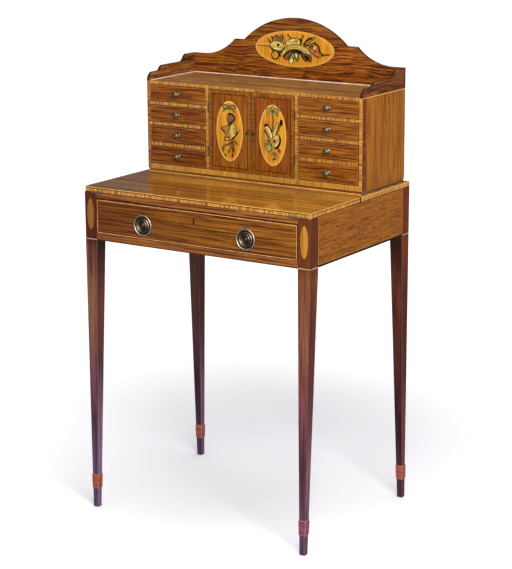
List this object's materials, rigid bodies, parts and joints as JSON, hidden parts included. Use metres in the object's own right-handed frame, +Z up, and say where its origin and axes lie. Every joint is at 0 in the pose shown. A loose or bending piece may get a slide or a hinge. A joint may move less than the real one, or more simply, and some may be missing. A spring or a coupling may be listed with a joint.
{
  "type": "bonheur du jour",
  "caption": "Lady's writing table on tapering legs, with a folding writing leaf, a frieze drawer with ring pulls, and a raised cabinet of small drawers and doors under a shaped gallery.",
  "frame": {"origin": "on the floor, below the middle of the overall box", "axes": "+Z up, the drawer fronts face -Y, +X to the sitter's right"},
  "size_m": [0.6, 0.4492, 1.122],
  "materials": {
    "leg_rosewood": "french-polished dark rosewood",
    "collar_wood": "polished reddish crossbanded collar",
    "rosewood": "french-polished figured rosewood veneer",
    "drawer_wood": "rosewood veneered front on oak linings",
    "satinwood": "polished satinwood crossbanding",
    "oak": "plain waxed oak and deal",
    "brass": "aged lacquered brass",
    "lock_metal": "worn iron and brass lock"
  },
  "bodies": {
    "table": {"leg_front_left": "leg_rosewood", "leg_front_right": "leg_rosewood", "leg_back_left": "leg_rosewood", "leg_back_right": "leg_rosewood", "leg_collars": "collar_wood", "apron_left": "rosewood", "apron_right": "rosewood", "apron_back": "oak", "drawer_rail_bottom": "rosewood", "drawer_rail_top": "rosewood", "drawer_runners": "oak", "bed_panel": "rosewood", "rear_top": "rosewood", "leaf_hinge_plates": "brass", "cabinet_plinth": "rosewood", "cabinet_bottom": "satinwood", "cabinet_top": "satinwood", "cabinet_back": "oak", "cabinet_sides": "rosewood", "cabinet_partitions": "satinwood", "drawer_dividers": "satinwood", "cabinet_shelf": "oak", "gallery_sides": "rosewood", "gallery_back": "rosewood", "door_hinge_plates": "brass"},
    "leaf": {"writing_leaf": "rosewood", "leaf_hinge_straps": "brass"},
    "frieze_drawer": {"frieze_drawer_front": "rosewood", "frieze_drawer_linings": "oak", "frieze_drawer_bottom": "oak", "frieze_lock": "lock_metal", "pull_plates": "brass"},
    "frieze_bolt": {"frieze_lock_bolt": "lock_metal"},
    "ring_left": {"pull_ring_left": "brass"},
    "ring_right": {"pull_ring_right": "brass"},
    "left_door": {"door_left": "rosewood", "door_knob_left": "brass", "door_hinge_leaves_left": "brass"},
    "right_door": {"door_right": "rosewood", "door_knob_right": "brass", "door_hinge_leaves_right": "brass", "door_closing_bead": "satinwood", "door_lock": "lock_metal"},
    "door_bolt": {"door_lock_bolt": "lock_metal"},
    "small_drawer_left_1_box": {"small_drawer_left_1": "drawer_wood", "drawer_knob_left_1": "brass"},
    "small_drawer_left_2_box": {"small_drawer_left_2": "drawer_wood", "drawer_knob_left_2": "brass"},
    "small_drawer_left_3_box": {"small_drawer_left_3": "drawer_wood", "drawer_knob_left_3": "brass", "drawer_knob_left_4": "brass", "mock_blade_left": "satinwood"},
    "small_drawer_right_1_box": {"small_drawer_right_1": "drawer_wood", "drawer_knob_right_1": "brass"},
    "small_drawer_right_2_box": {"small_drawer_right_2": "drawer_wood", "drawer_knob_right_2": "brass"},
    "small_drawer_right_3_box": {"small_drawer_right_3": "drawer_wood", "drawer_knob_right_3": "brass", "drawer_knob_right_4": "brass", "mock_blade_right": "satinwood"}
  },
  "joints": [
    {"name": "leaf_fold", "type": "hinge", "parent": "table", "child": "leaf", "pos_m": [0, -0.21516, 0.753], "axis": [1, 0, 0], "range_deg": [0, 180]},
    {"name": "frieze_drawer_slide", "type": "slide", "parent": "table", "child": "frieze_drawer", "axis": [0, -1, 0], "range_m": [0, 0.28]},
    {"name": "frieze_bolt_throw", "type": "slide", "parent": "frieze_drawer", "child": "frieze_bolt", "axis": [0, 0, 1], "range_m": [0, 0.006]},
    {"name": "ring_left_lift", "type": "hinge", "parent": "frieze_drawer", "child": "ring_left", "pos_m": [-0.137, -0.21746, 0.71393], "axis": [-1, 0, 0], "range_deg": [0, 85]},
    {"name": "ring_right_lift", "type": "hinge", "parent": "frieze_drawer", "child": "ring_right", "pos_m": [0.137, -0.21746, 0.71393], "axis": [-1, 0, 0], "range_deg": [0, 85]},
    {"name": "drawer_left_1_slide", "type": "slide", "parent": "table", "child": "small_drawer_left_1_box", "axis": [0, -1, 0], "range_m": [0, 0.14]},
    {"name": "drawer_left_2_slide", "type": "slide", "parent": "table", "child": "small_drawer_left_2_box", "axis": [0, -1, 0], "range_m": [0, 0.14]},
    {"name": "drawer_left_3_slide", "type": "slide", "parent": "table", "child": "small_drawer_left_3_box", "axis": [0, -1, 0], "range_m": [0, 0.14]},
    {"name": "drawer_right_1_slide", "type": "slide", "parent": "table", "child": "small_drawer_right_1_box", "axis": [0, -1, 0], "range_m": [0, 0.14]},
    {"name": "drawer_right_2_slide", "type": "slide", "parent": "table", "child": "small_drawer_right_2_box", "axis": [0, -1, 0], "range_m": [0, 0.14]},
    {"name": "drawer_right_3_slide", "type": "slide", "parent": "table", "child": "small_drawer_right_3_box", "axis": [0, -1, 0], "range_m": [0, 0.14]},
    {"name": "left_door_swing", "type": "hinge", "parent": "table", "child": "left_door", "pos_m": [-0.11605, 0.01684, 0.878], "axis": [0, 0, -1], "range_deg": [0, 90]},
    {"name": "right_door_swing", "type": "hinge", "parent": "table", "child": "right_door", "pos_m": [0.11605, 0.01684, 0.878], "axis": [0, 0, 1], "range_deg": [0, 90]},
    {"name": "door_bolt_throw", "type": "slide", "parent": "right_door", "child": "door_bolt", "axis": [-1, 0, 0], "range_m": [0, 0.005]}
  ]
}
